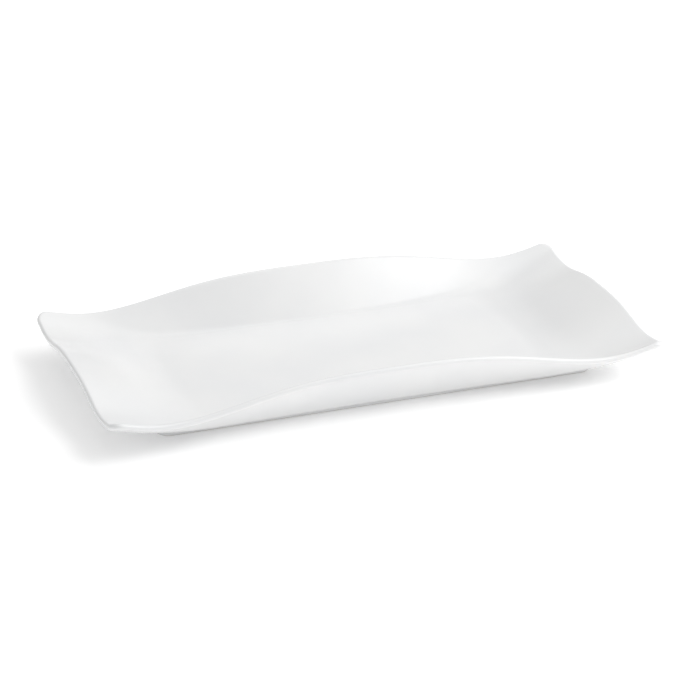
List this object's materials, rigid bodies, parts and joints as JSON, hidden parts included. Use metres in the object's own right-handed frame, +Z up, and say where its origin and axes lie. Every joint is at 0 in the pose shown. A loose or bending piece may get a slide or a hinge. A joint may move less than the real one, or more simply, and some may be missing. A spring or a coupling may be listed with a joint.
{
  "type": "serving platter",
  "caption": "Oblong white glazed porcelain serving platter with a shallow well, leaning long walls, upswept ends, a waved rounded lip with flared corners and a low foot ring.",
  "frame": {"origin": "on the table, under the centre of the platter", "axes": "+X along the platter's length, +Y across it, +Z up out of the well"},
  "size_m": [0.364, 0.1852, 0.036],
  "materials": {
    "glaze": "glossy clear glaze over white porcelain",
    "bisque": "matt unglazed porcelain"
  },
  "bodies": {
    "root": {"platter_body": "glaze", "foot_ring": "glaze", "foot_bearing_edge": "bisque"}
  },
  "joints": []
}
